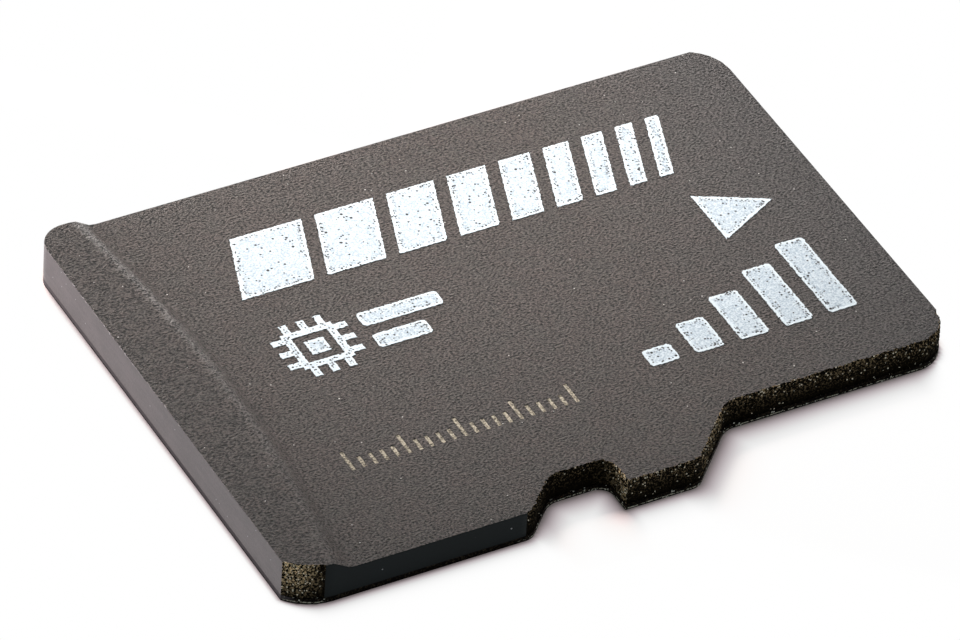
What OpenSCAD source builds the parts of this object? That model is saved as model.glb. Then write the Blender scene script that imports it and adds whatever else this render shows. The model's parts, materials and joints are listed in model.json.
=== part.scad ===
// Memory card of the small 15 by 11 mm size: a moulded body with a raised grip, on a thin circuit board.
// X runs along the card to its contact end, Y across it to its straight side, Z up out of its label face.
// The origin is the middle of the outline on the underside. Every size is in millimetres.

/* [Body] */
// Length from the grip end to the contact end
card_length = 15; // [14:0.1:17]
// Width at the grip end
card_width = 11; // [10.5:0.1:13]
// Height of the label face above the underside
body_height = 0.7; // [0.6:0.01:0.9]
// Thickness of the circuit board that the underside shows
board_height = 0.13; // [0.1:0.01:0.2]

/* [Grip] */
// How far the grip's crest stands above the label face
grip_rise = 0.23; // [0.1:0.01:0.4]
// Length of the flat crest along the card's middle
grip_crest = 1.3; // [1:0.01:1.5]
// Run of the slope from the crest down to the label face
grip_slope = 0.43; // [0.2:0.01:0.6]
// Radius of the shallow arc that the crest's edge follows across the card
grip_arc = 32.5; // [28:0.5:60]

/* [Front side] */
// How much narrower the card is at its contact end
narrow_step = 1.25; // [0.8:0.05:1.5]
// From the contact end to the shoulder where the full width starts
shoulder_setback = 6.3; // [6:0.05:6.6]
// From the contact end to the square wall of the latch notch
latch_setback = 7.9; // [7.6:0.05:8.4]
// Length of the latch notch at its mouth
latch_length = 2; // [1.6:0.05:2.6]
// Depth of the latch notch
latch_depth = 0.75; // [0.4:0.05:0.9]

/* [Corners] */
// Radius of the moulded corner between the grip end and the straight side
grip_back_radius = 0.6; // [0.2:0.05:1]
// Radius of the cut corner between the grip end and the front side
grip_front_radius = 1.15; // [0.8:0.05:1.6]
// Width of that cut, measured down the grip end
grip_front_cut = 0.43; // [0.2:0.01:0.7]
// Radius of the cut corner between the contact end and the straight side
contact_back_radius = 0.9; // [0.7:0.05:1.4]
// Width of that cut, measured along the straight side
contact_back_cut = 0.47; // [0.3:0.01:0.65]
// Radius of the corner between the contact end and the front side
contact_front_radius = 0.75; // [0.4:0.05:1.2]
// Radius at the foot of the step, inside its bend
step_foot_radius = 0.5; // [0.3:0.05:1.2]
// Radius at the shoulder, where the step meets the full width
shoulder_radius = 0.4; // [0.2:0.05:0.7]
// Radius where the latch notch's ramp leaves the front side
latch_lip_radius = 0.35; // [0.1:0.05:0.5]
// Radius between the latch notch's ramp and its floor
latch_ramp_radius = 0.5; // [0.2:0.05:0.8]
// Radius between the latch notch's floor and its square wall
latch_wall_radius = 0.3; // [0.1:0.05:0.35]

/* [Contacts] */
// Number of gold contacts in the row
contact_count = 8; // [8:1:8]
// Width of one contact
contact_width = 0.8; // [0.6:0.05:0.9]
// Length of one contact
contact_length = 2.9; // [2.4:0.05:3.2]
// From the contact end to the contacts
contact_setback = 1.1; // [0.9:0.05:1.4]
// How much nearer to the end the supply and ground contacts start
supply_lead = 0.3; // [0.1:0.05:0.5]
// From the outer contacts to the sides of the narrow end
contact_margin = 0.65; // [0.4:0.05:0.9]
// Radius of a contact's corners
contact_radius = 0.12; // [0.05:0.01:0.2]
// Thickness of the plated contacts
contact_height = 0.02; // [0.015:0.005:0.03]
// How far the contacts lie inside the underside
contact_recess = 0.01; // [0.005:0.005:0.02]
// Diameter of the plated holes that take each contact through the board
via_diameter = 0.14; // [0.1:0.01:0.2]
// From a contact's inner end to the axis of its plated hole
via_inset = 0.25; // [0.15:0.05:0.5]

/* [Board copper] */
// Thickness of the tracks, fingers and pads, flush with the board's top
copper_height = 0.02; // [0.01:0.005:0.03]
// Width of a track
track_width = 0.09; // [0.06:0.01:0.12]
// Length of a bond finger
finger_length = 0.3; // [0.2:0.05:0.4]
// Width of a bond finger
finger_width = 0.14; // [0.1:0.01:0.16]

/* [Dies] */
// Thickness of each silicon die
die_height = 0.08; // [0.05:0.005:0.09]
// Thickness of the adhesive film under each die
film_height = 0.015; // [0.01:0.005:0.02]
// From the contact end to the edge of the lower flash die
flash_setback = 2.7; // [2.4:0.05:3.2]
// From the grip end to the edge of the upper flash die
flash_grip_margin = 1; // [0.7:0.05:1.5]
// From the latch notch's floor to the flash dies
flash_front_margin = 0.75; // [0.6:0.05:1]
// From the straight side to the flash dies
flash_back_margin = 1.3; // [0.8:0.05:1.6]
// How far the upper flash die steps back so that the lower one's bond pads stay clear
flash_step = 0.4; // [0.3:0.05:0.6]
// Length of the controller die
controller_length = 3.4; // [2.6:0.1:4]
// Width of the controller die
controller_width = 1.8; // [1.2:0.1:2.4]
// From the upper flash die's grip edge to the controller
controller_inset = 0.6; // [0.3:0.05:1]
// From the flash dies' front edge to the controller
controller_front_inset = 0.25; // [0.2:0.05:0.3]

/* [Bond wires] */
// Thickness of the gold wire
wire_thickness = 0.025; // [0.02:0.005:0.03]
// How high a wire arches over the plain curve of its fall from the die
wire_arch = 0.08; // [0.06:0.005:0.1]
// From a die's edge to the foot of its wires
bond_inset = 0.1; // [0.08:0.01:0.15]
// From the lower flash die's edge to the middle of the flash bond fingers
flash_finger_gap = 0.45; // [0.4:0.05:0.6]
// From the flash dies' front edge to the middle of the controller's bond fingers
controller_finger_gap = 0.5; // [0.45:0.05:0.55]
// Number of wires from each flash die
flash_wire_count = 10; // [6:1:12]

/* [Passive parts] */
// Length of a chip capacitor or resistor, ends included
chip_length = 0.6; // [0.5:0.05:0.8]
// Width of a chip capacitor or resistor
chip_width = 0.3; // [0.2:0.05:0.4]
// Height of a chip capacitor or resistor
chip_height = 0.27; // [0.2:0.01:0.3]
// Length of each tinned end
chip_end = 0.14; // [0.1:0.01:0.2]
// From the contact end to the middle of the row of chips
chip_setback = 1.1; // [0.9:0.05:1.3]
// From the sides of the narrow end to the first and last chips
chip_margin = 1.2; // [0.8:0.05:2]

/* [Print] */
// Thickness of the white ink
ink_height = 0.012; // [0.005:0.001:0.02]
// From the foot of the grip's slope to the start of the stripes
stripe_margin = 1.15; // [0.8:0.05:1.4]
// From the straight side to the top of the stripes
stripe_drop = 1.5; // [1.2:0.05:2]
// Height of the stripes, across the card
stripe_height = 1.75; // [1:0.05:1.9]
// Number of stripes in the fading row
stripe_count = 9; // [3:1:10]
// Length of the first stripe
stripe_first = 1.57; // [0.8:0.01:1.6]
// Each stripe's share of the length of the one before it
stripe_shrink = 0.82; // [0.6:0.01:0.84]
// Gap between two stripes
stripe_gap = 0.28; // [0.15:0.01:0.3]
// How far a stripe's ends lean towards the contact end
stripe_lean = 0.6; // [0:0.05:0.8]
// Size of the chip symbol's square frame
symbol_size = 1.1; // [0.8:0.05:1.3]
// Width of the lines in the chip symbol
symbol_line = 0.17; // [0.1:0.01:0.2]
// Length of the chip symbol's legs
symbol_leg = 0.26; // [0.1:0.01:0.3]
// From the foot of the grip's slope to the chip symbol's legs
symbol_margin = 1.05; // [0.8:0.05:1.4]
// From the middle of the card to the middle of the chip symbol, towards the straight side
symbol_offset = 0.45; // [0:0.05:0.8]
// Length of the longer bar beside the chip symbol
bar_length = 1.75; // [1:0.05:2]
// Height of the bars beside the chip symbol
bar_height = 0.42; // [0.2:0.02:0.46]
// Width of one block of the rising row
block_width = 0.64; // [0.3:0.02:0.7]
// Gap between two blocks of the rising row
block_gap = 0.34; // [0.14:0.02:0.4]
// Height of the lowest block
block_low = 0.5; // [0.3:0.05:0.8]
// How much higher each block is than the one before it
block_rise = 0.44; // [0.2:0.02:0.46]
// From the contact end to the last block
block_setback = 1.3; // [1:0.05:1.6]
// From the narrow end's front edge to the foot of the blocks
block_foot = 1.5; // [1.2:0.05:1.8]
// Length of the insertion arrow
arrow_length = 1.44; // [1:0.02:1.8]
// Width of the insertion arrow's base
arrow_width = 1.48; // [1:0.02:1.8]
// From the contact end to the tip of the insertion arrow
arrow_setback = 1.24; // [0.8:0.02:1.6]
// From the middle of the card to the arrow's axis, towards the straight side
arrow_offset = 0.76; // [0.4:0.02:1]

/* [Etched scale] */
// Number of ticks in the etched scale
tick_count = 21; // [11:1:23]
// Distance from one tick to the next
tick_pitch = 0.24; // [0.18:0.01:0.26]
// Width of one tick
tick_width = 0.075; // [0.04:0.005:0.1]
// Length of the long ticks
tick_long = 0.56; // [0.4:0.02:0.7]
// Length of the short ticks
tick_short = 0.32; // [0.2:0.02:0.4]
// Depth of the etching
tick_depth = 0.012; // [0.005:0.001:0.02]
// From the foot of the grip's slope to the first tick
tick_margin = 0.8; // [0.6:0.05:1.2]
// From the front side to the feet of the ticks
tick_foot = 2.45; // [1.8:0.05:2.6]

/* [Hidden] */
$fn = 64;
grip_x = -card_length / 2;
contact_x = card_length / 2;
front_y = -card_width / 2;
back_y = card_width / 2;
narrow_y = front_y + narrow_step;
narrow_width = card_width - narrow_step;
slope_foot_x = grip_x + grip_crest + grip_slope;
ridge_axis_x = grip_x + grip_crest - grip_arc;
grip_height = body_height + grip_rise;

// The step's ramp and the latch notch's ramp both run at 45 degrees.
shoulder_x = contact_x - shoulder_setback;
step_foot_x = shoulder_x + narrow_step;
latch_wall_x = contact_x - latch_setback;
latch_lip_x = latch_wall_x - latch_length;
latch_floor_y = front_y + latch_depth;

// The outline's corners, anticlockwise from the grip end, as [x, y, radius]. A radius of 0 stays sharp.
OUTLINE = [
    [grip_x, front_y, 0],
    [latch_lip_x, front_y, latch_lip_radius],
    [latch_lip_x + latch_depth, latch_floor_y, latch_ramp_radius],
    [latch_wall_x, latch_floor_y, latch_wall_radius],
    [latch_wall_x, front_y, 0],
    [shoulder_x, front_y, shoulder_radius],
    [step_foot_x, narrow_y, step_foot_radius],
    [contact_x, narrow_y, contact_front_radius],
    [contact_x, back_y, 0],
    [grip_x, back_y, grip_back_radius]
];

pocket_depth = contact_recess + contact_height;
contact_pitch = (narrow_width - 2 * contact_margin - contact_width) / (contact_count - 1);
contact_inner_x = contact_x - contact_setback - contact_length;
SUPPLY_CONTACTS = [4, 6];

copper_z = board_height - copper_height;
step_height = film_height + die_height;
flash_x1 = contact_x - flash_setback;
flash_x0 = grip_x + flash_grip_margin;
flash_length = flash_x1 - flash_step - flash_x0;
flash_y0 = latch_floor_y + flash_front_margin;
flash_width = back_y - flash_back_margin - flash_y0;
controller_x0 = flash_x0 + controller_inset;
controller_y0 = flash_y0 + controller_front_inset;

wire_steps = 8;
flash_pitch = flash_width / (2 * flash_wire_count + 1);
flash_finger_x = flash_x1 + flash_finger_gap;
controller_pitch = controller_length / contact_count;
controller_finger_y = flash_y0 - controller_finger_gap;

CHIP_NAMES = ["supply_capacitor", "core_capacitor", "flash_capacitor", "pull_up_resistor"];
chip_pitch = (narrow_width - 2 * chip_margin) / (len(CHIP_NAMES) - 1);

block_count = 5;
print_radius = 0.09;
long_tick_every = 5;

MOULD_GREY = [0.34, 0.33, 0.32];
BOARD_BROWN = [0.13, 0.12, 0.10];
GOLD = [0.86, 0.68, 0.32];
COPPER = [0.80, 0.50, 0.32];
SILICON = [0.42, 0.44, 0.50];
FILM_AMBER = [0.75, 0.62, 0.36];
CERAMIC_TAN = [0.62, 0.47, 0.33];
RESISTOR_BLACK = [0.12, 0.12, 0.13];
TIN = [0.78, 0.78, 0.80];
INK_WHITE = [0.90, 0.93, 0.97];

function contact_name(i) = str("contact_", i);
function ends_name(name) = str(name, "_ends");
function unit(v) = v / norm(v);
function point(corner) = [corner.x, corner.y];
function turn(a, b) = a.x * b.y - a.y * b.x;
function is_supply(i) = len(search(i, SUPPLY_CONTACTS)) > 0;
function contact_y(i) = narrow_y + contact_margin + contact_width / 2 + (i - 1) * contact_pitch;
function chip_y(i) = narrow_y + chip_margin + i * chip_pitch;
function controller_line_x(i) = controller_x0 + (contact_count - i + 0.5) * controller_pitch;
function flash_line_y(i, shift) = flash_y0 + (2 * i + 1 + shift) * flash_pitch;
function stripe_length(i) = stripe_first * pow(stripe_shrink, i);
function stripe_start(i) = i == 0 ? 0 : stripe_start(i - 1) + stripe_length(i - 1) + stripe_gap;

// The sliver between a sharp corner and the arc that rounds it, with the arc tangent to both edges.
// The points corner, left, right run anticlockwise.
module corner_sliver(right, corner, left, radius) {
    to_right = unit(right - corner);
    to_left = unit(left - corner);
    half = acos(to_right * to_left) / 2;
    reach = radius / tan(half);
    difference() {
        polygon([corner, corner + reach * to_left, corner + reach * to_right]);
        translate(corner + unit(to_right + to_left) * radius / sin(half))
            circle(radius);
    }
}

// A flat outline with rounded corners, from anticlockwise [x, y, radius] corners.
module rounded_outline(corners) {
    count = len(corners);
    // convex(i) is true where the outline bulges, and false in the inside bends
    function before(i) = point(corners[(i + count - 1) % count]);
    function after(i) = point(corners[(i + 1) % count]);
    function convex(i) = turn(point(corners[i]) - before(i), after(i) - point(corners[i])) > 0;
    difference() {
        union() {
            polygon([for (corner = corners) point(corner)]);
            for (i = [0 : count - 1])
                if (corners[i].z > 0 && !convex(i))
                    corner_sliver(after(i), point(corners[i]), before(i), corners[i].z);
        }
        for (i = [0 : count - 1])
            if (corners[i].z > 0 && convex(i))
                corner_sliver(before(i), point(corners[i]), after(i), corners[i].z);
    }
}

// What a jet-cut corner takes off: its arc is tangent to one edge and meets the other in a crisp line.
// The corner is at the origin, the smooth edge runs along +X and the crisp one up +Y.
module cut_corner(radius, cut) {
    run = sqrt(pow(radius, 2) - pow(radius - cut, 2));
    difference() {
        square([run, cut]);
        translate([run, radius])
            circle(radius);
    }
}

// The card's outline from above, true at every height.
module card_outline() {
    difference() {
        rounded_outline(OUTLINE);
        translate([grip_x, front_y])
            cut_corner(grip_front_radius, grip_front_cut);
        translate([contact_x, back_y])
            rotate(-90)
                mirror([0, 1])
                    cut_corner(contact_back_radius, contact_back_cut);
    }
}

module box(x0, x1, y0, y1, z0, height) {
    translate([x0, y0, z0])
        cube([x1 - x0, y1 - y0, height]);
}

module centred_box(x, y, z0, size_x, size_y, height) {
    box(x - size_x / 2, x + size_x / 2, y - size_y / 2, y + size_y / 2, z0, height);
}

// The raised grip before its ends are cut to the outline: a wide, low cone whose rim is the slope.
module grip_ridge() {
    translate([ridge_axis_x, 0, body_height])
        cylinder(h = grip_rise, r1 = grip_arc + grip_slope, r2 = grip_arc, $fn = 360);
}

module mould_body() {
    color(MOULD_GREY)
        difference() {
            translate([0, 0, board_height])
                linear_extrude(grip_height - board_height)
                    card_outline();
            difference() {
                box(grip_x - 1, contact_x + 1, front_y - 1, back_y + 1, body_height, grip_rise + 1);
                grip_ridge();
            }
            encased_parts();
            etched_scale();
        }
}

// Everything that stands on the board and that the moulding flowed round.
module encased_parts() {
    lower_flash_film();
    lower_flash_die();
    upper_flash_film();
    upper_flash_die();
    controller_film();
    controller_die();
    lower_flash_wires();
    upper_flash_wires();
    controller_wires();
    for (i = [0 : len(CHIP_NAMES) - 1]) {
        chip_part(i);
        chip_ends(i);
    }
}

// The laser-etched scale: a row of short ticks with every fifth one long.
module etched_scale() {
    start = slope_foot_x + tick_margin;
    for (i = [0 : tick_count - 1]) {
        long = i % long_tick_every == 0;
        box(start + i * tick_pitch, start + i * tick_pitch + tick_width,
            front_y + tick_foot, front_y + tick_foot + (long ? tick_long : tick_short),
            body_height - tick_depth, 2 * tick_depth);
    }
}

module circuit_board() {
    color(BOARD_BROWN)
        difference() {
            linear_extrude(board_height)
                card_outline();
            for (i = [1 : contact_count])
                contact_pocket(i);
            contact_vias();
            controller_tracks();
            flash_fingers();
            chip_pads();
        }
}

module contact_shape(i) {
    lead = is_supply(i) ? supply_lead : 0;
    x1 = contact_x - contact_setback + lead;
    y0 = contact_y(i) - contact_width / 2;
    y1 = contact_y(i) + contact_width / 2;
    rounded_outline([
        [contact_inner_x, y0, contact_radius],
        [x1, y0, contact_radius],
        [x1, y1, contact_radius],
        [contact_inner_x, y1, contact_radius]
    ]);
}

module contact_pocket(i) {
    linear_extrude(pocket_depth)
        contact_shape(i);
}

module contact(i) {
    color(GOLD)
        translate([0, 0, contact_recess])
            linear_extrude(contact_height)
                contact_shape(i);
}

module contact_vias() {
    color(COPPER)
        for (i = [1 : contact_count])
            translate([contact_inner_x + via_inset, contact_y(i), pocket_depth])
                cylinder(h = copper_z - pocket_depth, d = via_diameter);
}

// One track a contact: from its plated hole along the card, then out to the controller's bond finger.
module controller_tracks() {
    color(COPPER)
        for (i = [1 : contact_count]) {
            x0 = controller_line_x(i);
            x1 = contact_inner_x + via_inset;
            half = track_width / 2;
            finger_y1 = controller_finger_y + finger_length / 2;
            union() {
                box(x0 - half, x1 + half, contact_y(i) - half, contact_y(i) + half, copper_z, copper_height);
                box(x0 - half, x0 + half, finger_y1 - half, contact_y(i) + half, copper_z, copper_height);
                centred_box(x0, controller_finger_y, copper_z, finger_width, finger_length, copper_height);
            }
        }
}

module flash_fingers() {
    color(GOLD)
        for (i = [0 : flash_wire_count - 1], shift = [0, 1])
            centred_box(flash_finger_x, flash_line_y(i, shift), copper_z,
                finger_length, finger_width, copper_height);
}

module chip_pads() {
    color(COPPER)
        for (i = [0 : len(CHIP_NAMES) - 1], side = [-1, 1])
            centred_box(contact_x - chip_setback, chip_y(i) + side * (chip_length - chip_end) / 2, copper_z,
                chip_width, chip_end, copper_height);
}

module flash_layer(level, offset_x, height) {
    box(flash_x0 + offset_x, flash_x0 + offset_x + flash_length, flash_y0, flash_y0 + flash_width, level, height);
}

module lower_flash_film() {
    color(FILM_AMBER)
        flash_layer(board_height, flash_step, film_height);
}

module lower_flash_die() {
    color(SILICON)
        flash_layer(board_height + film_height, flash_step, die_height);
}

module upper_flash_film() {
    color(FILM_AMBER)
        flash_layer(board_height + step_height, 0, film_height);
}

module upper_flash_die() {
    color(SILICON)
        flash_layer(board_height + step_height + film_height, 0, die_height);
}

module controller_layer(level, height) {
    box(controller_x0, controller_x0 + controller_length,
        controller_y0, controller_y0 + controller_width, level, height);
}

module controller_film() {
    color(FILM_AMBER)
        controller_layer(board_height + 2 * step_height, film_height);
}

module controller_die() {
    color(SILICON)
        controller_layer(board_height + 2 * step_height + film_height, die_height);
}

// A wire's side view: it leaves the die rising, arches over its edge and falls steeply to the finger.
module wire_arch_section(run, drop) {
    function arch(t) = drop * (1 - t * t) + 4 * wire_arch * t * (1 - t);
    under = [for (i = [0 : wire_steps]) [run * i / wire_steps, arch(i / wire_steps)]];
    over = [for (i = [wire_steps : -1 : 0]) [run * i / wire_steps, arch(i / wire_steps) + wire_thickness]];
    polygon(concat(over, under));
}

// Stands the arch on the board at a bond finger and gives it the wire's width, running back along -X.
module bond_wire(run, drop) {
    translate([-run, wire_thickness / 2, board_height])
        rotate([90, 0, 0])
            linear_extrude(wire_thickness)
                wire_arch_section(run, drop);
}

module lower_flash_wires() {
    color(GOLD)
        for (i = [0 : flash_wire_count - 1])
            translate([flash_finger_x, flash_line_y(i, 0), 0])
                bond_wire(flash_finger_gap + bond_inset, step_height);
}

module upper_flash_wires() {
    color(GOLD)
        for (i = [0 : flash_wire_count - 1])
            translate([flash_finger_x, flash_line_y(i, 1), 0])
                bond_wire(flash_finger_gap + flash_step + bond_inset, 2 * step_height);
}

module controller_wires() {
    color(GOLD)
        for (i = [1 : contact_count])
            translate([controller_line_x(i), controller_finger_y, 0])
                rotate(-90)
                    bond_wire(controller_finger_gap + controller_front_inset + bond_inset, 3 * step_height);
}

// The middle of a chip capacitor or resistor, between its tinned ends.
module chip_part(i) {
    color(CHIP_NAMES[i] == "pull_up_resistor" ? RESISTOR_BLACK : CERAMIC_TAN)
        centred_box(contact_x - chip_setback, chip_y(i), board_height,
            chip_width, chip_length - 2 * chip_end, chip_height);
}

module chip_ends(i) {
    color(TIN)
        for (side = [-1, 1])
            centred_box(contact_x - chip_setback, chip_y(i) + side * (chip_length - chip_end) / 2, board_height,
                chip_width, chip_end, chip_height);
}

module ink() {
    color(INK_WHITE)
        translate([0, 0, body_height])
            linear_extrude(ink_height)
                children();
}

module rounded_bar(x, y, length, height) {
    rounded_outline([
        [x, y, print_radius],
        [x + length, y, print_radius],
        [x + length, y + height, print_radius],
        [x, y + height, print_radius]
    ]);
}

module stripe_print() {
    top = back_y - stripe_drop;
    foot = top - stripe_height;
    ink()
        for (i = [0 : stripe_count - 1]) {
            x0 = slope_foot_x + stripe_margin + stripe_start(i);
            x1 = x0 + stripe_length(i);
            polygon([[x0, foot], [x1, foot], [x1 + stripe_lean, top], [x0 + stripe_lean, top]]);
        }
}

// A plain chip symbol, a square frame with legs and a core, and two bars beside it.
module chip_symbol_print() {
    centre_x = slope_foot_x + symbol_margin + symbol_leg + symbol_size / 2;
    leg_pitch = symbol_size / 3;
    bars_x = centre_x + symbol_size / 2 + 2 * symbol_leg;
    ink() {
        translate([centre_x, symbol_offset]) {
            difference() {
                square(symbol_size, center = true);
                square(symbol_size - 2 * symbol_line, center = true);
            }
            square(symbol_size - 4 * symbol_line, center = true);
            for (quarter = [0 : 3], k = [-1 : 1])
                rotate(90 * quarter)
                    translate([symbol_size / 2, k * leg_pitch - symbol_line / 2])
                        square([symbol_leg, symbol_line]);
        }
        rounded_bar(bars_x, symbol_offset + symbol_size / 2 - bar_height, bar_length, bar_height);
        rounded_bar(bars_x, symbol_offset - symbol_size / 2, bar_length * 2 / 3, bar_height);
    }
}

module rising_blocks_print() {
    pitch = block_width + block_gap;
    start = contact_x - block_setback - block_count * pitch + block_gap;
    ink()
        for (i = [0 : block_count - 1])
            rounded_bar(start + i * pitch, narrow_y + block_foot, block_width, block_low + i * block_rise);
}

module insertion_arrow_print() {
    tip = contact_x - arrow_setback;
    ink()
        polygon([
            [tip - arrow_length, arrow_offset - arrow_width / 2],
            [tip, arrow_offset],
            [tip - arrow_length, arrow_offset + arrow_width / 2]
        ]);
}

mould_body();
circuit_board();
for (i = [1 : contact_count])
    contact(i);
contact_vias();
controller_tracks();
flash_fingers();
chip_pads();
lower_flash_film();
lower_flash_die();
upper_flash_film();
upper_flash_die();
controller_film();
controller_die();
lower_flash_wires();
upper_flash_wires();
controller_wires();
for (i = [0 : len(CHIP_NAMES) - 1]) {
    chip_part(i);
    chip_ends(i);
}
stripe_print();
chip_symbol_print();
rising_blocks_print();
insertion_arrow_print();
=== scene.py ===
# %% [markdown]
# # A memory card, dressed around its CAD solids
# The card is 15 mm long, so a scratch of a hundredth of a millimetre shows in the picture.
# The CAD part gives every piece its place and size. This lesson adds what a solid can't carry:
# the grain of the mould, the rough edges that the cutting jet leaves, and print with pinholes.
# All lengths below are in millimetres, and only the last step to the mesh turns them into metres.

import json
import math

import bpy
import numpy as np
from mathutils import Matrix, Vector, noise
from mathutils.geometry import delaunay_2d_cdt


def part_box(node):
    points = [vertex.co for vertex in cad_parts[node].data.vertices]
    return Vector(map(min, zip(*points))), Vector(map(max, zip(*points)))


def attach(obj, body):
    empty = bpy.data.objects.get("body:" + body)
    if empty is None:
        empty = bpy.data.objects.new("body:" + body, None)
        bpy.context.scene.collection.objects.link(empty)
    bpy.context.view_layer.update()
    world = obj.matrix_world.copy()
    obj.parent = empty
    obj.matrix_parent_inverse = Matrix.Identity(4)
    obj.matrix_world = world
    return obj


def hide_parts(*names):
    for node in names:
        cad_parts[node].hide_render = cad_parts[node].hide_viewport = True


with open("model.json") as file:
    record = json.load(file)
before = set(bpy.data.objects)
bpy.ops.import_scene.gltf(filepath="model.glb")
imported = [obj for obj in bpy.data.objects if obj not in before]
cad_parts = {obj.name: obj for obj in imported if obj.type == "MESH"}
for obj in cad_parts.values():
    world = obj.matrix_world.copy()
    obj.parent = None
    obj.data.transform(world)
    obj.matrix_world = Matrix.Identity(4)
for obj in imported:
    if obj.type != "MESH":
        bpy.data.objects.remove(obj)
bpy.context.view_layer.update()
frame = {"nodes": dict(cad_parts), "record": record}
MM = 0.001
scene = bpy.context.scene


def node_box(name):
    """A CAD node's lowest and highest corner, in millimetres."""
    low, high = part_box(name)
    return np.array(low) / MM, np.array(high) / MM


grip_x, front_y, board_z = node_box("mould_body")[0]
contact_x, back_y, crest_z = node_box("mould_body")[1]
label_z = node_box("insertion_arrow_print")[0][2]
print(f"card {contact_x - grip_x:.2f} x {back_y - front_y:.2f}, label at {label_z:.2f}, crest at {crest_z:.2f}")

# %% [markdown]
# ## The camera
# A picture of straight edges at known lengths fixes the camera that took it. The photograph's edges
# were fitted that way, so this camera sees the card from the same side, with the same long lens and
# the same slight roll. Building the matrix from three axes keeps the roll simple to read.

# %% Camera
IMAGE_WIDTH = 960
SENSOR_WIDTH = 36
FOCAL_PIXELS = 9233.3
CAMERA_DISTANCE = 177.874
LOOK_AT = Vector((-0.4966, 0.2194, 0.35))
AZIMUTH = math.radians(-30.555)
ELEVATION = math.radians(39.768)
ROLL = math.radians(4.025)

level_right = Vector((math.cos(AZIMUTH), math.sin(AZIMUTH), 0))
backward = Vector((
    math.sin(AZIMUTH) * math.cos(ELEVATION),
    -math.cos(AZIMUTH) * math.cos(ELEVATION),
    math.sin(ELEVATION),
))
level_up = backward.cross(level_right)
camera_right = level_right * math.cos(ROLL) + level_up * math.sin(ROLL)
camera_up = level_up * math.cos(ROLL) - level_right * math.sin(ROLL)

camera_data = bpy.data.cameras.new("camera")
camera_data.sensor_width = SENSOR_WIDTH
camera_data.lens = FOCAL_PIXELS * SENSOR_WIDTH / IMAGE_WIDTH
camera_data.clip_start = 0.01
camera = bpy.data.objects.new("camera", camera_data)
scene.collection.objects.link(camera)
turn = Matrix((camera_right, camera_up, backward)).transposed().to_4x4()
camera.matrix_world = Matrix.Translation((LOOK_AT + backward * CAMERA_DISTANCE) * MM) @ turn
scene.camera = camera
print(f"lens {camera_data.lens:.1f} mm at {CAMERA_DISTANCE:.0f} mm")

# %% [markdown]
# ## The outline, stretch by stretch
# The card is cut free from a moulded sheet in two ways. A saw runs along the straight sides and leaves
# them smooth. A jet of water and grit cuts the corners, the latch notch and the step, and leaves
# them rough. So the outline is kept as a list of stretches, each with the finish of its tool, and the
# rough ones get closer points, because they carry relief of their own.

# %% Outline helpers
SAWN_SPACING = 0.15
JET_SPACING = 0.022


def unit(vector):
    """The vector at length one."""
    return vector / np.linalg.norm(vector)


def straight(start, end, spacing):
    """Points from start to end, both included."""
    count = max(1, math.ceil(np.linalg.norm(end - start) / spacing))
    return start + (end - start) * np.linspace(0, 1, count + 1)[:, None]


def arc(centre, start, end):
    """Close points on the shorter arc around a centre, from start to end."""
    first, last = start - centre, end - centre
    radius = np.linalg.norm(first)
    start_angle = math.atan2(first[1], first[0])
    sweep = math.atan2(first[0] * last[1] - first[1] * last[0], first @ last)
    count = max(2, math.ceil(radius * abs(sweep) / JET_SPACING))
    angles = start_angle + sweep * np.linspace(0, 1, count + 1)
    return centre + radius * np.stack([np.cos(angles), np.sin(angles)], axis=1)


def fillet(before, corner, after, radius):
    """The arc that rounds a corner, tangent to both of its edges."""
    to_before, to_after = unit(before - corner), unit(after - corner)
    half = math.acos(to_before @ to_after) / 2
    reach = radius / math.tan(half)
    centre = corner + unit(to_before + to_after) * radius / math.sin(half)
    return arc(centre, corner + to_before * reach, corner + to_after * reach)


print(f"points every {SAWN_SPACING} on sawn sides, every {JET_SPACING} where the jet cut")

# %% [markdown]
# ### Corners
# The sizes here are those of the CAD model: the step of 1.25, the notch, and one radius for each bend.
# Each corner below is the sharp one, where two straight sides would meet.

# %% Corners of the card
NARROW_STEP = 1.25
SHOULDER_SETBACK = 6.3
LATCH_SETBACK = 7.9
LATCH_LENGTH = 2.0
LATCH_DEPTH = 0.75

narrow_y = front_y + NARROW_STEP
latch_y = front_y + LATCH_DEPTH
wall_x = contact_x - LATCH_SETBACK
lip = np.array([wall_x - LATCH_LENGTH, front_y])
ramp_top = lip + LATCH_DEPTH
wall_top = np.array([wall_x, latch_y])
tab = np.array([wall_x, front_y])
shoulder = np.array([contact_x - SHOULDER_SETBACK, front_y])
step_foot = shoulder + NARROW_STEP
contact_front = np.array([contact_x, narrow_y])
contact_back = np.array([contact_x, back_y])
grip_back = np.array([grip_x, back_y])
grip_front = np.array([grip_x, front_y])
print(f"notch from {lip[0]:.2f} to {wall_x:.2f}, step from {shoulder[0]:.2f} to {step_foot[0]:.2f}")

# %% [markdown]
# ### Bends and sides
# Most corners are plain fillets. The two jet-cut corners at the sawn ends aren't. Their arc is tangent
# to one edge and runs out through the other, which leaves the crisp upright line seen at the front
# left corner. Each bend is listed with its own finish and the finish of the straight side after it.

# %% Outline of the card
SAWN_END, SAWN_SIDE, JET_BACK, JET_CORNER, JET_NOTCH, JET_WALL, JET_TAB, JET_RAMP, JET_STEP = range(9)
MOULDED, LASER = 9, 10

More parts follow.
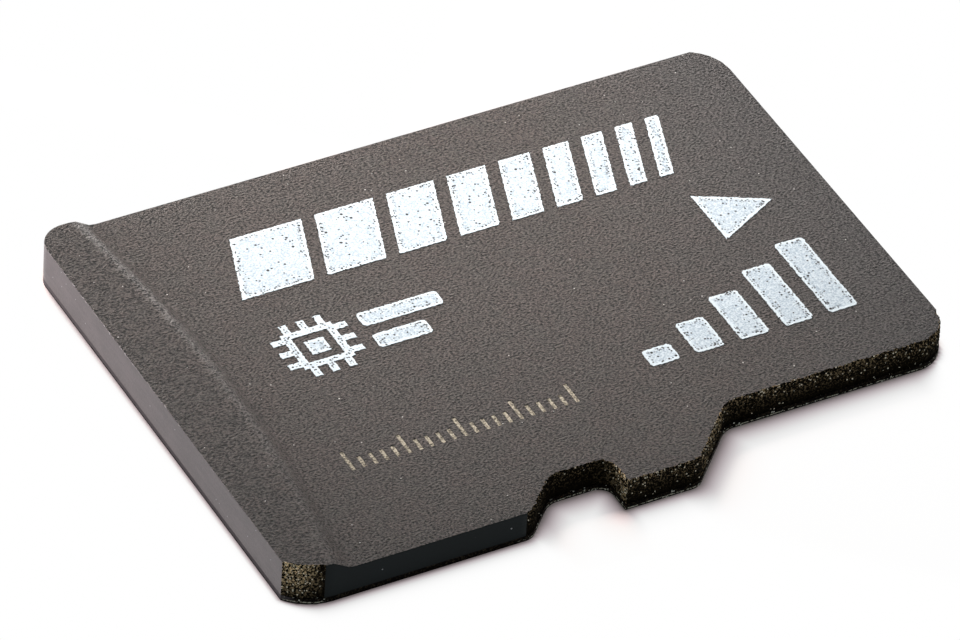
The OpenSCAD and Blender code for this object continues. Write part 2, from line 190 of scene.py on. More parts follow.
LATCH_LIP_RADIUS, LATCH_RAMP_RADIUS, LATCH_WALL_RADIUS = 0.35, 0.5, 0.3
SHOULDER_RADIUS, STEP_FOOT_RADIUS = 0.4, 0.5
CONTACT_FRONT_RADIUS, GRIP_BACK_RADIUS = 0.75, 0.6
GRIP_FRONT_RADIUS, GRIP_FRONT_CUT = 1.15, 0.43
CONTACT_BACK_RADIUS, CONTACT_BACK_CUT = 0.9, 0.47
TORN_SHARE = 0.8
RIGHT, UP = np.array([1.0, 0.0]), np.array([0.0, 1.0])


def jet_corner(corner, along, up, radius, cut):
    """A cut corner's arc, from where it is tangent to one edge to where it leaves through the other."""
    run = math.sqrt(radius**2 - (radius - cut) ** 2)
    return arc(corner + along * run + up * radius, corner + along * run, corner + up * cut)


grip_cut = jet_corner(grip_front, RIGHT, UP, GRIP_FRONT_RADIUS, GRIP_FRONT_CUT)[::-1]
contact_cut = jet_corner(contact_back, -UP, -RIGHT, CONTACT_BACK_RADIUS, CONTACT_BACK_CUT)
bends = [
    (grip_cut, JET_CORNER, SAWN_SIDE),
    (fillet(grip_front, lip, ramp_top, LATCH_LIP_RADIUS), JET_NOTCH, JET_NOTCH),
    (fillet(lip, ramp_top, wall_top, LATCH_RAMP_RADIUS), JET_NOTCH, JET_NOTCH),
    (fillet(ramp_top, wall_top, tab, LATCH_WALL_RADIUS), JET_WALL, JET_WALL),
    (np.array([tab]), JET_TAB, JET_TAB),
    (fillet(tab, shoulder, step_foot, SHOULDER_RADIUS), JET_TAB, JET_RAMP),
    (fillet(shoulder, step_foot, contact_front, STEP_FOOT_RADIUS), JET_STEP, JET_STEP),
    (fillet(step_foot, contact_front, contact_back, CONTACT_FRONT_RADIUS), JET_STEP, SAWN_SIDE),
    (contact_cut, JET_BACK, SAWN_SIDE),
    (fillet(contact_back, grip_back, grip_front, GRIP_BACK_RADIUS), SAWN_END, SAWN_END),
]
stretches = []
for (bend, bend_finish, side_finish), (next_bend, _, _) in zip(bends, bends[1:] + bends[:1]):
    spacing = JET_SPACING if side_finish >= JET_BACK else SAWN_SPACING
    stretches.append((bend, bend_finish))
    stretches.append((straight(bend[-1], next_bend[0], spacing), side_finish))
outline = np.concatenate([points[:-1] for points, _ in stretches])
finish = np.concatenate([np.full(len(points) - 1, kind) for points, kind in stretches])
finish[int(len(grip_cut) * TORN_SHARE) : len(grip_cut) - 1] = SAWN_SIDE
print(f"outline of {len(outline)} points in {len(stretches)} stretches")

# %% [markdown]
# ### Which way the edge faces, and how much the jet may bite
# Relief is pushed in along the edge's own direction, so every point needs one. The bite fades out over
# the last points of each rough stretch, or a step would show where the saw takes over.

# %% Outward directions and the jet's weight along the outline
BACK_CORNER_SHARE = 0.25
FADE_ROUNDS = 2

edges = np.roll(outline, -1, axis=0) - outline
edge_lengths = np.linalg.norm(edges, axis=1)
edge_normals = np.stack([edges[:, 1], -edges[:, 0]], axis=1) / edge_lengths[:, None]
both = edge_normals + np.roll(edge_normals, 1, axis=0)
normals = both / np.linalg.norm(both, axis=1)[:, None]
is_jet = finish >= JET_BACK
jet_weight = (is_jet & np.roll(is_jet, 1)).astype(float)
jet_weight[finish == JET_BACK] *= BACK_CORNER_SHARE
for _ in range(FADE_ROUNDS):
    around = (np.roll(jet_weight, 1) + np.roll(jet_weight, -1) + jet_weight) / 3
    jet_weight = np.minimum(jet_weight, around)
print(f"{edge_lengths[is_jet].sum():.1f} mm of {edge_lengths.sum():.1f} mm is jet-cut")

# %% [markdown]
# ## How rough the jet leaves the edge
# Grit tears grains out of the moulding, in pits that are drawn out along the jet, and it chips the
# upper rim more than the rest. Noise stretched up the wall gives the torn streaks, finer noise
# gives the single grains, and both only ever cut inwards, so the card keeps its size.

# %% Relief of the jet-cut edges
STREAK_DEPTH, STREAK_WIDTH, STREAK_HEIGHT = 0.022, 0.07, 0.30
GRAIN_DEPTH, GRAIN_SIZE, GRAIN_LAYER = 0.026, 0.035, 40
CHIP_DEPTH, CHIP_WIDTH, CHIP_REACH, CHIP_LAYER = 0.045, 0.04, 0.07, 80


def jet_relief(position, height, rim_height):
    """How deep the jet has bitten at one point of the edge."""
    x, y = position
    streaks = noise.noise(Vector((x / STREAK_WIDTH, y / STREAK_WIDTH, height / STREAK_HEIGHT)))
    grains = noise.noise(Vector((x / GRAIN_SIZE, y / GRAIN_SIZE, height / GRAIN_SIZE + GRAIN_LAYER)))
    chips = noise.noise(Vector((x / CHIP_WIDTH, y / CHIP_WIDTH, CHIP_LAYER)))
    rim = max(0.0, 1 - (rim_height - height) / CHIP_REACH)
    depth = STREAK_DEPTH * (0.5 + streaks) + GRAIN_DEPTH * (0.5 + grains)
    return max(0.0, depth) + CHIP_DEPTH * rim**2 * max(0.0, 0.25 + chips)


sample = [jet_relief(point, label_z, label_z) for point in outline[is_jet]]
print(f"the jet bites {np.mean(sample):.3f} at the rim on average, {max(sample):.3f} at most")

# %% [markdown]
# ## The raised grip
# The grip's inner edge is a shallow arc across the card, so its slope is part of a very wide cone. The
# CAD solid has a straight slope with sharp ends. A mould tool is polished there, so the slope here runs
# in a soft S between the same two arcs.

# %% Height of the top face
GRIP_CREST, GRIP_SLOPE, GRIP_ARC = 1.3, 0.43, 32.5
SOFT_SHARE = 0.7
ridge_axis_x = grip_x + GRIP_CREST - GRIP_ARC


def top_height(x, y):
    """The height of the card's top: the label face, the slope or the grip's crest."""
    run = np.clip((np.hypot(x - ridge_axis_x, y) - GRIP_ARC) / GRIP_SLOPE, 0, 1)
    soft = run * run * (3 - 2 * run)
    fall = SOFT_SHARE * soft + (1 - SOFT_SHARE) * run
    return crest_z - (crest_z - label_z) * fall


print(f"the grip stands {crest_z - label_z:.2f} over the label and slopes down over {GRIP_SLOPE}")

# %% [markdown]
# ## Gathering a mesh
# A cut edge with relief is easiest to build ring by ring, as plain lists of points and faces. The shell
# below gathers them, and hands them to Blender once, at the end.

# %% Shell
SHARP_ANGLE = math.radians(32)


class Shell:
    """Points, faces and face materials of one mesh, gathered before Blender builds it."""

    def __init__(self):
        self.points, self.faces, self.slots = [], [], []

    def add(self, points):
        """Adds points and returns their indices."""
        start = len(self.points)
        self.points.extend([tuple(p) for p in points])
        return list(range(start, len(self.points)))

    def band(self, lower, upper, slots):
        """Joins two loops of as many points, the second one above or inside the first."""
        count = len(lower)
        for i in range(count):
            j = (i + 1) % count
            self.faces.append((lower[i], lower[j], upper[j], upper[i]))
            self.slots.append(int(slots[i]))

    def piece(self, name, materials, smooth=True):
        """Makes the object, in metres, riding on the card."""
        mesh = bpy.data.meshes.new(name)
        mesh.from_pydata([tuple(c * MM for c in p) for p in self.points], [], self.faces)
        mesh.polygons.foreach_set("material_index", self.slots)
        mesh.polygons.foreach_set("use_smooth", [smooth] * len(self.faces))
        for material in materials:
            mesh.materials.append(material)
        mesh.validate()
        mesh.update()
        mesh.set_sharp_from_angle(angle=SHARP_ANGLE)
        made = bpy.data.objects.new(name, mesh)
        scene.collection.objects.link(made)
        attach(made, "root")
        return made


print(f"edges sharper than {math.degrees(SHARP_ANGLE):.0f} degrees stay crisp")

# %% [markdown]
# ## Filling a flat face
# A face with a wandering rim, and with grooves inside it, is awkward to fill with a grid. Constrained
# Delaunay triangulation does it in one call: it takes any points and loops and returns triangles
# that respect the loops. Points inside are only needed where the face isn't flat.

# %% Loops and triangles
WELD = 1e-7


def inside(points, loops):
    """Whether each point lies inside a set of loops, by counting crossings to its right."""
    x, y = points[:, 0][:, None], points[:, 1][:, None]
    crossings = np.zeros(len(points), int)
    for loop in loops:
        ax, ay = loop[:, 0], loop[:, 1]
        bx, by = np.roll(ax, -1), np.roll(ay, -1)
        spans = (ay > y) != (by > y)
        rise = np.where(by == ay, 1.0, by - ay)
        crossings += (spans & (x < (bx - ax) * (y - ay) / rise + ax)).sum(axis=1)
    return crossings % 2 == 1


def distance_to(points, loops):
    """Each point's distance to the nearest edge of a set of loops."""
    nearest = np.full(len(points), np.inf)
    for loop in loops:
        for a, b in zip(loop, np.roll(loop, -1, axis=0)):
            t = np.clip((points - a) @ (b - a) / max((b - a) @ (b - a), 1e-12), 0, 1)
            nearest = np.minimum(nearest, np.linalg.norm(points - a - t[:, None] * (b - a), axis=1))
    return nearest


def triangulate(loops, extra):
    """Triangles between loops and extra points, as indices into both, and the triangles' centres."""
    points = np.concatenate(loops + [extra]) if len(extra) else np.concatenate(loops)
    borders, start = [], 0
    for loop in loops:
        count = len(loop)
        borders += [(start + i, start + (i + 1) % count) for i in range(count)]
        start += count
    made = delaunay_2d_cdt([Vector(p) for p in points], borders, [], 0, WELD)
    triangles, sources = made[2], made[3]
    triangles = [tuple(sources[c][0] for c in t) for t in triangles if all(sources[c] for c in t)]
    centres = np.array([points[list(t)].mean(axis=0) for t in triangles])
    keep = inside(centres, loops[:1])
    print(f"  {len(points)} points, {keep.sum()} triangles")
    return [t for t, kept in zip(triangles, keep) if kept], centres[keep]


def ring_points(xy, heights):
    """Flat points and their heights as one list of 3D points."""
    return np.column_stack([xy, heights])


# %% [markdown]
# ## Reading loops from the CAD solids
# The print and the etched marks already have their outlines in the CAD nodes. Reading the loops back
# from a node's flat faces means that nothing is typed twice, and the detail moves when the part does.
# An edge that two faces share is inside the shape, so only edges seen once belong to a loop.

# %% Loops of a node's flat faces
TICK_DEPTH = 0.012
UPWARD, LEVEL_SLACK = 0.9, 0.002


def face_loops(node, height):
    """The border loops of a node's upward faces at one height."""
    mesh = frame["nodes"][node].data
    links = {}
    for polygon in mesh.polygons:
        corners = [mesh.vertices[i].co / MM for i in polygon.vertices]
        if polygon.normal.z < UPWARD or any(abs(c.z - height) > LEVEL_SLACK for c in corners):
            continue
        keys = [(round(c.x, 4), round(c.y, 4)) for c in corners]
        for a, b in zip(keys, keys[1:] + keys[:1]):
            if a in links.get(b, ()):
                links[b].discard(a)
            else:
                links.setdefault(a, set()).add(b)
    loops = []
    while any(links.values()):
        start = min(k for k, v in links.items() if v)
        loop, here = [], start
        while not loop or here != start:
            loop.append(here)
            here = links[here].pop()
        loops.append(np.array(loop))
    return loops


tick_loops = face_loops("mould_body", label_z - TICK_DEPTH)
print(f"{len(tick_loops)} etched ticks")

# %% [markdown]
# ## Shader helpers
# Every finish below is procedural, in millimetres of the card itself: Object coordinates times a
# thousand. Grain is a bump from noise. Glints and pinholes are small dots, made from Voronoi cells
# that each draw a random number, where only the lucky cells show. One class holds the node tree
# and the few kinds of node that all finishes share, so that each finish reads like a recipe.

# %% Finish
NOISE_LOW, NOISE_HIGH = 0.3, 0.7


def srgb(red, green, blue):
    """A colour as an eight-bit screen value, turned linear for a shader."""
    channels = [c / 255 for c in (red, green, blue)]
    return tuple(c / 12.92 if c <= 0.04045 else ((c + 0.055) / 1.055) ** 2.4 for c in channels) + (1.0,)


def shade_of(colour, share):
    """The same colour, darker or lighter by a share."""
    return tuple(c * share for c in colour[:3]) + (1.0,)


class Finish:
    """A material under construction: its node tree, its shader and its millimetre coordinates."""

    def __init__(self, name, roughness, specular, metallic=0.0):
        self.material = bpy.data.materials.new(name)
        self.material.use_nodes = True
        self.tree = self.material.node_tree
        self.shader = self.tree.nodes["Principled BSDF"]
        self.shader.inputs["Roughness"].default_value = roughness
        self.shader.inputs["Specular IOR Level"].default_value = specular
        self.shader.inputs["Metallic"].default_value = metallic
        place = self.node("ShaderNodeTexCoord").outputs["Object"]
        scale = self.node("ShaderNodeVectorMath", operation="SCALE")
        scale.inputs["Scale"].default_value = 1 / MM
        self.link(place, scale.inputs[0])
        self.place = scale.outputs[0]

    def node(self, kind, **settings):
        """Adds a node and sets its options."""
        made = self.tree.nodes.new(kind)
        for key, value in settings.items():
            setattr(made, key, value)
        return made

    def link(self, source, target):
        """Joins a socket to another, or sets a plain value on it."""
        if isinstance(source, bpy.types.NodeSocket):
            self.tree.links.new(source, target)
        else:
            target.default_value = source

    def set(self, name, source):
        """Feeds one input of the shader."""
        self.link(source, self.shader.inputs[name])

    def math(self, operation, a, b):
        """One step of arithmetic."""
        made = self.node("ShaderNodeMath", operation=operation)
        self.link(a, made.inputs[0])
        self.link(b, made.inputs[1])
        return made.outputs[0]

    def product(self, first, *others):
        """Several values multiplied together."""
        for other in others:
            first = self.math("MULTIPLY", first, other)
        return first

    def part(self, vector, axis):
        """One of a vector's three parts."""
        made = self.node("ShaderNodeSeparateXYZ")
        self.link(vector, made.inputs[0])
        return made.outputs[axis]

    def along(self, axis):
        """The distance along one axis of the card."""
        return self.part(self.place, axis)

    def noise(self, size, detail=2.0, rough=0.5, stretch=(1, 1, 1)):
        """Noise with features of about one size."""
        place = self.node("ShaderNodeVectorMath", operation="MULTIPLY")
        self.link(self.place, place.inputs[0])
        place.inputs[1].default_value = stretch
        made = self.node("ShaderNodeTexNoise")
        made.inputs["Scale"].default_value = 1 / size
        made.inputs["Detail"].default_value = detail
        made.inputs["Roughness"].default_value = rough
        self.link(place.outputs[0], made.inputs["Vector"])
        return made.outputs["Fac"]

    def ramp(self, value, low, high, start=0.0, end=1.0):
        """Maps a stretch of values to another and clips outside it."""
        made = self.node("ShaderNodeMapRange", clamp=True)
        self.link(value, made.inputs["Value"])
        for name, number in zip(("From Min", "From Max", "To Min", "To Max"), (low, high, start, end)):
            self.link(number, made.inputs[name])
        return made.outputs["Result"]

    def wander(self, size, reach, detail=2.0):
        """Noise that wanders to both sides of zero, as far as the reach."""
        return self.ramp(self.noise(size, detail), NOISE_LOW, NOISE_HIGH, -reach, reach)

    def mix(self, share, first, second):
        """Blends two colours."""
        made = self.node("ShaderNodeMix", data_type="RGBA")
        self.link(share, made.inputs["Factor"])
        self.link(first, made.inputs["A"])
        self.link(second, made.inputs["B"])
        return made.outputs["Result"]

    def dots(self, spacing, share, radius):
        """Round dots in a random share of small cells: 1 inside a dot, 0 outside."""
        cells = self.node("ShaderNodeTexVoronoi", feature="F1")
        cells.inputs["Scale"].default_value = 1 / spacing
        self.link(self.place, cells.inputs["Vector"])
        split = self.node("ShaderNodeSeparateColor")
        self.link(cells.outputs["Color"], split.inputs[0])
        lucky = self.math("LESS_THAN", split.outputs[0], share)
        near = self.ramp(cells.outputs["Distance"], radius, radius * 0.75)
        return self.math("MULTIPLY", lucky, near)

    def paint(self, colour, grain, spacing, share, radius):
        """Sets the base colour, with grains of another colour strewn over it."""
        self.set("Base Color", self.mix(self.dots(spacing, share, radius), colour, grain))

    def bump(self, height, depth):
        """Turns a height from 0 to 1 into a bump of that depth."""
        made = self.node("ShaderNodeBump")
        made.inputs["Strength"].default_value = 1.0
        made.inputs["Distance"].default_value = depth * MM
        self.link(height, made.inputs["Height"])
        self.set("Normal", made.outputs["Normal"])


print(f"a mid grey of 128 is {srgb(128, 128, 128)[0]:.3f} in linear light")

# %% [markdown]
# ## Moulding compound
# The label face copies a spark-eroded mould: a dense crinkle, about 0.04 mm from pit to pit. A painted
# speckle would look flat when the light moves, so the crinkle is a bump of moderate height, and the
# same noise darkens the bottoms of the pits, as painted shade, where little light gets in. The compound
# is glass powder in black resin, so here and there a grain of glass glints: these glints are painted,
# as white dots in the base colour. One function makes the crinkle, because the ink that lies on the
# face follows it too.
#
# The card isn't one grey. The grip is a little darker, as painted shade where less light falls on it,
# and the contact end is less brown. The inner rim of the grip is painted pale, a painted highlight that
# is brightest at its back end, nearest the lamp. Distance from the axis of the grip's cone says where a
# point lies across that rim.

# %% Moulded grain
GRAIN_WIDTH, GRAIN_HEIGHT = 0.041, 0.13
GRAIN_STRETCH = (0.75, 1.0, 1.0)
PIT_LEVEL, PEAK_LEVEL = 0.36, 0.60
# Painted shade in the pits and painted glints, both in the base colour.
PIT_SHADE, GLINT = srgb(20, 18, 17), srgb(225, 220, 215)
MOULD_WARM, MOULD_COOL = srgb(109, 99, 95), srgb(105, 98, 94)
CONTACT_GREY, CONTACT_GREY_FROM = srgb(106, 103, 103), 3.0
# Painted shade: the grip's darker grey stands for the lesser light on it.
GRIP_SHADE_GREY, GRIP_SHADE_FADE = srgb(74, 69, 67), 0.3
# Painted highlight along the grip's inner rim.
SLOPE_HIGHLIGHT_GREY, SLOPE_HIGHLIGHT_POWER = srgb(168, 163, 161), 1.4
SLOPE_HIGHLIGHT_RISE, SLOPE_HIGHLIGHT_FALL = (-0.10, 0.02), (0.22, 0.08)


def add_grain(surface, depth):
    """The spark-eroded crinkle, as a bump; returns its height."""
    height = surface.noise(GRAIN_WIDTH, rough=0.6, stretch=GRAIN_STRETCH)
    surface.bump(height, depth)
    return height


def grip_distance(surface):
    """How far a point lies from the axis of the grip's cone, with a slight wander."""
    flat = surface.node("ShaderNodeVectorMath", operation="MULTIPLY")
    surface.link(surface.place, flat.inputs[0])
    flat.inputs[1].default_value = (1, 1, 0)
    away = surface.node("ShaderNodeVectorMath", operation="DISTANCE")
    surface.link(flat.outputs[0], away.inputs[0])
    away.inputs[1].default_value = (ridge_axis_x, 0, 0)
    return surface.math("ADD", away.outputs["Value"], surface.wander(0.1, 0.04))


def painted_slope_highlight(surface, distance):
    """Where a painted highlight makes the grip's inner rim pale, most of all at the back end: 0 to 1."""
    rise = surface.ramp(distance, GRIP_ARC + SLOPE_HIGHLIGHT_RISE[0], GRIP_ARC + SLOPE_HIGHLIGHT_RISE[1])
    fall = surface.ramp(distance, GRIP_ARC + SLOPE_HIGHLIGHT_FALL[0], GRIP_ARC + SLOPE_HIGHLIGHT_FALL[1])
    speckle = surface.ramp(surface.noise(0.04, detail=3.0, rough=0.75), 0.36, 0.6, 0.2, 1.0)
    back = surface.ramp(surface.along("Y"), front_y, back_y, 0.2, 1.0)
    return surface.product(rise, fall, speckle, surface.math("POWER", back, SLOPE_HIGHLIGHT_POWER))


def moulded_finish():
    """The label face and the grip: grained, dull, with painted shade in the pits and rare painted glints."""
    surface = Finish("moulded_grain", roughness=0.42, specular=0.25)
    height = add_grain(surface, GRAIN_HEIGHT)
    distance = grip_distance(surface)
    at_contacts = surface.ramp(surface.along("X"), CONTACT_GREY_FROM, contact_x, 0.0, 0.6)
    # Painted shade on the grip.
    shade_on_grip = surface.ramp(distance, GRIP_ARC, GRIP_ARC - GRIP_SHADE_FADE, 0.0, 0.22)
    tint = surface.mix(surface.ramp(surface.noise(0.45), 0.35, 0.65), MOULD_WARM, MOULD_COOL)
    tint = surface.mix(at_contacts, tint, CONTACT_GREY)
    tint = surface.mix(shade_on_grip, tint, GRIP_SHADE_GREY)
    # Painted highlight: the inner rim of the grip is made paler, most of all at the back end.
    tint = surface.mix(painted_slope_highlight(surface, distance), tint, SLOPE_HIGHLIGHT_GREY)
    # Painted shade: the pits of the crinkle are darkened in the base colour.
    grey = surface.mix(surface.ramp(height, PIT_LEVEL, PEAK_LEVEL), PIT_SHADE, tint)
    # Painted glints: rare white dots in the base colour.
    surface.paint(grey, GLINT, spacing=0.05, share=0.003, radius=0.32)
    return surface.material


print(f"grain {GRAIN_WIDTH} wide and {GRAIN_HEIGHT} high")

# %% [markdown]
# ## Sawn sides
# The saw leaves a smooth wall with faint lines along the card. The walls are one compound, and they
# differ by what they mirror and by painted light and shade: the end under the grip is matt, catches
# the light and is given a pale grey as painted light, and the long sides are given a near black as
# painted shade. At the back bend one turns into the other, so the end's finish can fade to another colour.

# %% Sawn finish
# Painted light on the sawn end and painted shade on the long sides, in one compound.
SIDE_PAINTED_SHADE, END_PAINTED_LIGHT_GREY, SAWN_GRAIN = srgb(9, 18, 20), srgb(112, 100, 101), srgb(200, 195, 195)
SAWN_CONTRAST = 0.14


def sawn_finish(name, colour, specular, roughness, turning=None):
    """A smooth side with saw lines; turning names another colour, and where it starts and ends along Y."""
    surface = Finish(name, roughness=roughness, specular=specular)
    lines = surface.noise(0.3, detail=3.0, stretch=(0.3, 0.3, 6.0))
    cloud = surface.noise(0.7, detail=3.0)
    fine = surface.noise(0.035)
    shade = surface.math("ADD", surface.product(lines, 0.3), surface.product(cloud, 0.3))
    shade = surface.ramp(surface.math("ADD", shade, surface.product(fine, 0.4)), 0.4, 0.6)
    grey = surface.mix(shade, shade_of(colour, 1 - SAWN_CONTRAST), shade_of(colour, 1 + SAWN_CONTRAST))
    if turning:
        other, start, end = turning
        grey = surface.mix(surface.ramp(surface.along("Y"), start, end), grey, other)
    surface.paint(grey, SAWN_GRAIN, spacing=0.07, share=0.01, radius=0.25)
    surface.bump(surface.noise(0.05, detail=3.0, stretch=(1, 1, 2)), 0.002)
    return surface.material


print(f"sawn sides vary by {SAWN_CONTRAST:.0%} to both sides of their colour")

# %% [markdown]
# ## Jet-cut sides
# Where the jet has torn the resin open, pale filler shows as clots, with painted glints between them.
# The share of pale clots differs a lot round the card, so it is the recipe's main number, and it is
# partly open filler and partly painted light: nearly everything at the front left corner and on the
# notch's wall, which face the small lamp, hardly anything in the notch. It falls down the wall, and on
# two stretches it also falls sideways into a smooth part, a painted light fading where the cut turns
# away from the lamp.

# %% Jet finish
RESIN_BLACK, RESIN_BROWN = srgb(2, 1, 0), srgb(11, 8, 3)
# The glint colour is a painted highlight in the base colour.
FILLER_CREAM, FILLER_GLINT = srgb(255, 220, 172), srgb(255, 240, 216)
CLOT_SIZE, GLINT_SPACING = 0.046, 0.038
FADE_POWER = 1.4


def jet_finish(name, filler_and_light, lowest=0.0, lit_fade=None):
    """Torn black resin in which a share of the pale glass powder is laid open, a share that is partly painted
    light.

    The share falls down the wall to its lowest. The lit fade names an axis along which this painted
    light falls too, and the places where it is full and faint.
    """
    surface = Finish(name, roughness=0.75, specular=0.02)
    upper = surface.ramp(surface.along("Z"), board_z, label_z)
    upper = surface.ramp(surface.math("POWER", upper, FADE_POWER), 0, 1, lowest, 1.0)
    glints = surface.ramp(upper, 0, 1, 0.11 * filler_and_light, 0.015 + 0.2 * filler_and_light)
    # Painted light: along one axis the clots and glints fade where the cut turns from the small lamp.
    if lit_fade:
        axis, full, faint = lit_fade
        place = surface.math("ADD", surface.along(axis), surface.wander(0.12, 0.08, detail=3.0))
        beside = surface.ramp(place, full, faint, 1.0, 0.05)
        upper, glints = surface.product(upper, beside), surface.product(glints, beside)
    clots = surface.noise(CLOT_SIZE, detail=3.0, rough=0.7)
    clots = surface.ramp(clots, 0.55 - 0.05 * filler_and_light, 0.59 - 0.04 * filler_and_light)
    resin = surface.mix(surface.noise(0.06, detail=3.0), RESIN_BLACK, RESIN_BROWN)
    # The clots' share is partly open glass powder and partly painted light.
    torn = surface.mix(surface.product(clots, upper, 0.14 + 0.86 * filler_and_light), resin, FILLER_CREAM)
    # Painted glints: pale dots in the base colour.
    surface.paint(torn, FILLER_GLINT, GLINT_SPACING, glints, radius=0.5)
    surface.bump(surface.noise(0.03), 0.02)
    return surface.material


print(f"clots of {CLOT_SIZE} and glints in cells of {GLINT_SPACING}")

# %% [markdown]
# ## Etched ticks, and the list of finishes
# A laser has burnt the resin away in the ticks and left powdery filler. With that, the moulding has all
# its finishes. They go in a list in the order of the numbers given to the outline's stretches.

# %% Finishes of the moulding
POWDER_DARK, POWDER_PALE = srgb(84, 78, 68), srgb(206, 194, 174)


def laser_finish():
    """Pale, matt powder in the bottom of a tick."""
    surface = Finish("laser_mark", roughness=0.9, specular=0.2)
    powder = surface.ramp(surface.noise(0.045, detail=3.0, rough=0.7), 0.38, 0.62)
    surface.set("Base Color", surface.mix(powder, POWDER_DARK, POWDER_PALE))
    surface.bump(powder, 0.006)
    return surface.material


card_materials = [
    # The sawn end in painted light, turning at the back bend into the long sides' painted shade.
    sawn_finish("sawn_end", END_PAINTED_LIGHT_GREY, 0.35, 0.38, turning=(SIDE_PAINTED_SHADE, back_y - 0.5, back_y - 0.02)),
    sawn_finish("sawn_side", SIDE_PAINTED_SHADE, 0.07, 0.4),
    # Each stretch's share holds painted light as well as open filler: highest where the cut faces the small
    # lamp.
    jet_finish("jet_back", filler_and_light=0.1),
    jet_finish("jet_corner", filler_and_light=0.95, lowest=0.15, lit_fade=("X", grip_x + 0.3, grip_x + 0.66)),
    jet_finish("jet_notch", filler_and_light=0.03),
    jet_finish("jet_wall", filler_and_light=1.0, lowest=0.4, lit_fade=("Y", front_y + 0.1, latch_y)),
    jet_finish("jet_tab", filler_and_light=0.22),
    jet_finish("jet_ramp", filler_and_light=0.5, lowest=0.3),
    jet_finish("jet_step", filler_and_light=0.25),
    moulded_finish(),
    laser_finish(),
]
print(f"{len(card_materials)} finishes on the moulding")

# %% [markdown]
# ## The moulded body
# The body is built as a skirt of rings with a cap. Each ring is the outline at one height, pushed in
# by the jet's relief. The last rings roll over the rim: a hair's width on the sawn sides, and a
# ragged chip on the jet-cut ones. The cap then closes the top with the grip's slope in it.

# %% Rings up the side
WALL_ROWS = 20
SAWN_RIM, JET_RIM = 0.006, 0.02
RIM_STEPS = 4


def relief_ring(heights, rims):
    """The outline pushed in by the jet's relief, at one height for each point."""
    bites = [
        weight * jet_relief(point, height, rim) if weight else 0.0
        for point, height, rim, weight in zip(outline, heights, rims, jet_weight)
    ]
    return outline - normals * np.array(bites)[:, None]


def add_skirt(shell):
    """The wall and its rolled rim; returns the lowest and the highest ring."""
    tops = top_height(outline[:, 0], outline[:, 1])
    rim = SAWN_RIM + (JET_RIM - SAWN_RIM) * jet_weight
    rings = []
    for row in range(WALL_ROWS + 1):
        heights = board_z + (tops - rim - board_z) * row / WALL_ROWS
        rings.append(shell.add(ring_points(relief_ring(heights, tops), heights)))
    wall_end = relief_ring(tops - rim, tops)
    for step in range(1, RIM_STEPS + 1):
        angle = math.pi / 2 * step / RIM_STEPS
        heights = tops - rim * (1 - math.sin(angle))
        xy = wall_end - normals * (rim * (1 - math.cos(angle)))[:, None]
        rings.append(shell.add(ring_points(xy, heights)))
    for lower, upper in zip(rings, rings[1:]):
        shell.band(lower, upper, finish)
    print(f"skirt of {len(rings)} rings")
    return rings[0], rings[-1]


# %% [markdown]
# The cap needs its points close together only where the grip slopes and near the rim. On the flat
# label face a sparse grid is enough. Each etched tick brings two loops, one at the surface and one
# at its floor, and the thin triangles between them become its walls.

# %% Cap with the grip's slope and the etched ticks
GRID_SPACING = 0.5
SLOPE_RINGS, SLOPE_SPACING = 14, 0.15
RIM_MARGIN = 0.06
TICK_WALL = 0.006


def slope_points():
    """Points in arcs over the grip's slope and a little past its two ends."""
    points = []
    for ring in range(-1, SLOPE_RINGS + 2):
        radius = GRIP_ARC + GRIP_SLOPE * ring / SLOPE_RINGS
        for y in np.arange(front_y, back_y, SLOPE_SPACING):
            points.append((ridge_axis_x + math.sqrt(radius**2 - y**2), y))
    return np.array(points)


def grid_between(low, high, spacing):
    """Points in a plain grid between two corners."""
    columns, rows = (np.arange(low[i], high[i], spacing) for i in (0, 1))
    return np.array([(x, y) for x in columns for y in rows])


def label_points():
    """A sparse grid over the top, without the grip's slope."""
    points = grid_between(grip_front, contact_back, GRID_SPACING)
    run = np.hypot(points[:, 0] - ridge_axis_x, points[:, 1]) - GRIP_ARC
    return points[(run < -RIM_MARGIN) | (run > GRIP_SLOPE + RIM_MARGIN)]


def grow(loop, amount):
    """A convex loop moved outwards from its middle by about one amount on each side."""
    middle = (loop.min(axis=0) + loop.max(axis=0)) / 2
    return loop + np.sign(loop - middle) * amount


def add_cap(shell, ring):
    """Closes the top of the body."""
    border = np.array([shell.points[i][:2] for i in ring])
    walls = [grow(loop, TICK_WALL) for loop in tick_loops]
    extra = np.concatenate([slope_points(), label_points()])
    extra = extra[inside(extra, [border]) & (distance_to(extra, [border] + walls) > RIM_MARGIN)]
    triangles, centres = triangulate([border] + walls + tick_loops, extra)
    free = np.concatenate(walls + tick_loops + [extra])
    heights = top_height(free[:, 0], free[:, 1])
    wall_count, floor_count = sum(map(len, walls)), sum(map(len, tick_loops))
    heights[wall_count : wall_count + floor_count] = label_z - TICK_DEPTH
    index = list(ring) + shell.add(ring_points(free, heights))
    for triangle, etched in zip(triangles, inside(centres, tick_loops)):
        shell.faces.append(tuple(index[i] for i in triangle))
        shell.slots.append(LASER if etched else MOULDED)


def add_underside(shell, ring):
    """Closes the flat bottom, which lies on the circuit board."""
    border = np.array([shell.points[i][:2] for i in ring])
    for a, b, c in triangulate([border], [])[0]:
        shell.faces.append((ring[a], ring[c], ring[b]))
        shell.slots.append(SAWN_SIDE)


# %% Moulding
body = Shell()
lowest_ring, highest_ring = add_skirt(body)
add_cap(body, highest_ring)
add_underside(body, lowest_ring)
moulding = body.piece("moulding", card_materials)
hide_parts("mould_body")
print(f"moulding of {len(moulding.data.polygons)} faces")

